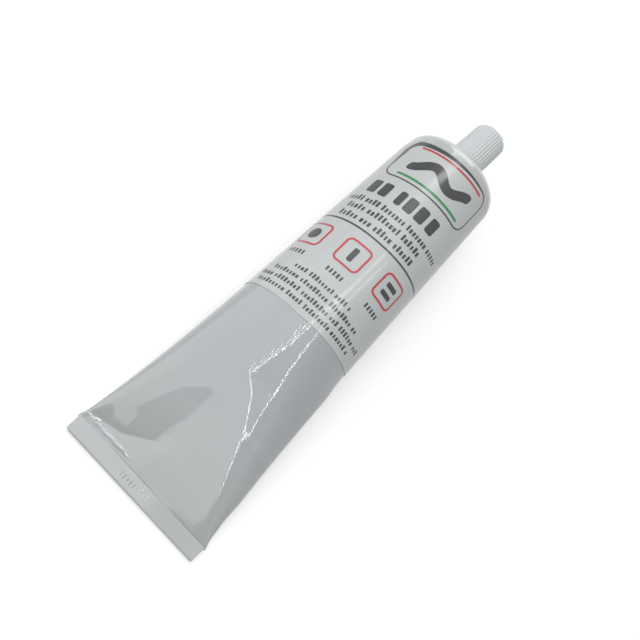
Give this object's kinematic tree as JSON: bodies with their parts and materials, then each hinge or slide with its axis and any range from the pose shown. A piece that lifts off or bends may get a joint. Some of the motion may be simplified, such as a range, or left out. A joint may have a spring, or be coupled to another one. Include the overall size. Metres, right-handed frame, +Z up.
{
  "type": "caulk tube",
  "caption": "Collapsible aluminium tube of sealing paste with crimped tail, wrap label and ribbed screw cap.",
  "frame": {"origin": "centre of the bounding box at the level of the ground the tube lies on", "axes": "+X from the crimped tail to the cap, +Y to the tube's left seen from the tail, +Z up"},
  "size_m": [0.1721, 0.0554, 0.035],
  "materials": {
    "lacquered_tube": "gloss white lacquer on soft aluminium",
    "label_film": "satin printed film",
    "cap_plastic": "satin moulded plastic with fine grip ribs"
  },
  "bodies": {
    "tube": {"tube_body": "lacquered_tube", "label": "label_film"},
    "cap": {"cap": "cap_plastic"}
  },
  "joints": [
    {"name": "cap_off", "type": "slide", "parent": "tube", "child": "cap", "axis": [0.9972, -0.0454, 0.0593], "range_m": [0, 0.028]}
  ]
}
